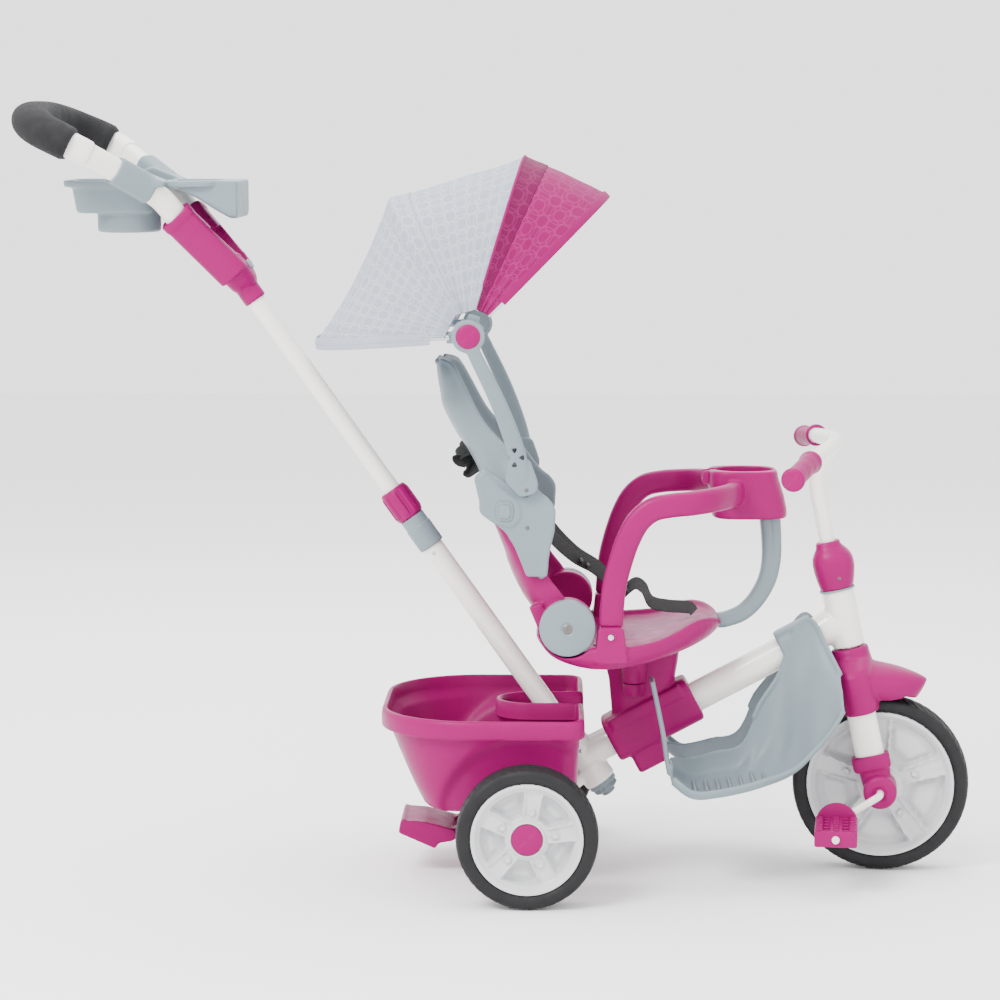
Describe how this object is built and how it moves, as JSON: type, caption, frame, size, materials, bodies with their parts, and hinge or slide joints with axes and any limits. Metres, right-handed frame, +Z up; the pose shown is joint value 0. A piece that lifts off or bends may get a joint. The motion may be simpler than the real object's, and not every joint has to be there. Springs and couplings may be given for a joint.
{
  "type": "push tricycle",
  "caption": "Toddler push tricycle with pedals on the front wheel, padded ring seat, reclining back, tilting canopy, rear bucket, foot rest and a telescoping parent steering pole.",
  "frame": {"origin": "on the ground, under the middle of the bounding box", "axes": "+X is the way the tricycle rides, +Y is to the rider's left, +Z is up"},
  "size_m": [1.1762, 0.5022, 0.9539],
  "materials": {
    "white_enamel": "smooth gloss white enamel on steel tube",
    "pink_plastic": "moulded magenta pink plastic, half gloss",
    "grey_plastic": "moulded cool pale grey plastic, half gloss",
    "white_plastic": "moulded off-white plastic",
    "rim_plastic": "moulded pale grey wheel plastic",
    "tyre_foam": "dark moulded tyre with a fine tread",
    "foam": "dense charcoal foam sleeve",
    "steel": "zinc-plated steel",
    "black_webbing": "black woven webbing",
    "grey_cloth": "pale grey woven cloth",
    "pink_cloth": "magenta pink woven cloth"
  },
  "bodies": {
    "frame": {"main_tube": "white_enamel", "head_tube": "white_enamel", "rear_frame": "white_enamel", "socket_cap": "grey_plastic", "rear_axle": "steel", "bucket": "pink_plastic", "foot_rest": "grey_plastic"},
    "front_end": {"fork": "white_enamel", "fender": "pink_plastic", "handlebar": "white_enamel", "neck_cover": "pink_plastic", "grip_r": "pink_plastic", "grip_l": "pink_plastic", "fork_end_r": "pink_plastic", "fork_end_l": "pink_plastic"},
    "front_wheel": {"front_rim": "rim_plastic", "front_tyre": "tyre_foam", "crank": "white_enamel"},
    "right_pedal": {"pedal_r": "pink_plastic"},
    "left_pedal": {"pedal_l": "pink_plastic"},
    "right_rear_wheel": {"rear_rim_r": "rim_plastic", "rear_tyre_r": "tyre_foam", "rear_cap_r": "pink_plastic"},
    "left_rear_wheel": {"rear_rim_l": "rim_plastic", "rear_tyre_l": "tyre_foam", "rear_cap_l": "pink_plastic"},
    "lower_push_pole": {"lower_pole": "white_enamel", "pole_sleeve": "grey_plastic"},
    "clamp_nut": {"collar_nut": "pink_plastic"},
    "push_handle": {"upper_pole": "white_enamel", "handle_bracket": "pink_plastic", "handle_frame": "white_plastic", "foam_grip": "foam", "parent_tray": "grey_plastic"},
    "seat": {"seat_pan": "pink_plastic", "seat_column": "pink_plastic", "crotch_strap": "black_webbing", "harness_buckle": "black_webbing"},
    "seat_lock": {"seat_lock_knob": "pink_plastic"},
    "right_button": {"release_button_r": "steel"},
    "left_button": {"release_button_l": "steel"},
    "armrest": {"arm_ring": "pink_plastic", "crotch_bar": "grey_plastic"},
    "backrest": {"backrest_lower": "pink_plastic", "backrest_upper": "grey_plastic", "recline_cap_r": "grey_plastic", "recline_cap_l": "grey_plastic", "canopy_arm_r": "grey_plastic", "canopy_arm_l": "grey_plastic", "shoulder_strap_r": "black_webbing", "shoulder_strap_l": "black_webbing"},
    "canopy": {"canopy_hub_r": "grey_plastic", "canopy_hub_l": "grey_plastic", "bow_rear": "steel", "bow_mid": "steel", "bow_seam": "steel", "bow_visor": "steel", "canopy_rear": "grey_cloth", "canopy_front": "pink_cloth"},
    "brake": {"brake_pedal": "pink_plastic"}
  },
  "joints": [
    {"name": "steering", "type": "hinge", "parent": "frame", "child": "front_end", "pos_m": [0.43857, -0.00032, 0.2805], "axis": [-0.2113, 0, 0.9774], "range_deg": [-11, 11]},
    {"name": "front_wheel_spin", "type": "hinge", "parent": "front_end", "child": "front_wheel", "pos_m": [0.47972, -0.00077, 0.10897], "axis": [0.1106, 0.9936, 0.0239], "continuous": true},
    {"name": "pedal_spin_r", "type": "hinge", "parent": "front_wheel", "child": "right_pedal", "pos_m": [0.40838, -0.17108, 0.07178], "axis": [0.1106, 0.9936, 0.0239], "continuous": true},
    {"name": "pedal_spin_l", "type": "hinge", "parent": "front_wheel", "child": "left_pedal", "pos_m": [0.55107, 0.16954, 0.14616], "axis": [0.1106, 0.9936, 0.0239], "continuous": true},
    {"name": "rear_wheel_spin_r", "type": "hinge", "parent": "frame", "child": "right_rear_wheel", "pos_m": [0.04057, -0.00032, 0.0846], "axis": [0, 1, 0], "continuous": true},
    {"name": "rear_wheel_spin_l", "type": "hinge", "parent": "frame", "child": "left_rear_wheel", "pos_m": [0.04057, -0.00032, 0.0846], "axis": [0, 1, 0], "continuous": true},
    {"name": "handle_steer", "type": "hinge", "parent": "frame", "child": "lower_push_pole", "pos_m": [0.10787, -0.00032, 0.1412], "axis": [-0.5807, 0, 0.8141], "range_deg": [-6.1, 6.1]},
    {"name": "pole_telescope", "type": "slide", "parent": "lower_push_pole", "child": "push_handle", "axis": [-0.5807, 0, 0.8141], "range_m": [-0.1, 0]},
    {"name": "clamp_nut_twist", "type": "hinge", "parent": "lower_push_pole", "child": "clamp_nut", "pos_m": [0.10787, -0.00032, 0.1412], "axis": [-0.5807, 0, 0.8141], "range_deg": [0, 60]},
    {"name": "seat_slide", "type": "slide", "parent": "frame", "child": "seat", "axis": [0.8838, 0, 0.4679], "range_m": [-0.012, 0.02]},
    {"name": "seat_lock_pull", "type": "slide", "parent": "seat", "child": "seat_lock", "axis": [0, 0, -1], "range_m": [0, 0.008], "stiffness_N_per_m": 400, "springref_m": -0.003},
    {"name": "button_press_r", "type": "slide", "parent": "seat", "child": "right_button", "axis": [0, 1, 0], "range_m": [0, 0.003], "stiffness_N_per_m": 400, "springref_m": -0.002},
    {"name": "button_press_l", "type": "slide", "parent": "seat", "child": "left_button", "axis": [0, -1, 0], "range_m": [0, 0.003], "stiffness_N_per_m": 400, "springref_m": -0.002},
    {"name": "armrest_lift", "type": "slide", "parent": "seat", "child": "armrest", "axis": [0, 0, 1], "range_m": [0, 0.08]},
    {"name": "backrest_recline", "type": "hinge", "parent": "seat", "child": "backrest", "pos_m": [0.08787, -0.00032, 0.324], "axis": [0, 1, 0], "range_deg": [0, 15], "deforming": ["shoulder_strap_r", "shoulder_strap_l"]},
    {"name": "canopy_tilt", "type": "hinge", "parent": "backrest", "child": "canopy", "pos_m": [-0.02913, -0.00032, 0.673], "axis": [0, 1, 0], "range_deg": [0, 25]},
    {"name": "brake_press", "type": "hinge", "parent": "frame", "child": "brake", "pos_m": [0.04057, -0.00032, 0.0846], "axis": [0, -1, 0], "range_deg": [0, 10]}
  ],
  "couplings": [
    {"joint": "handle_steer", "follows": "steering", "ratio": 0.5538}
  ]
}
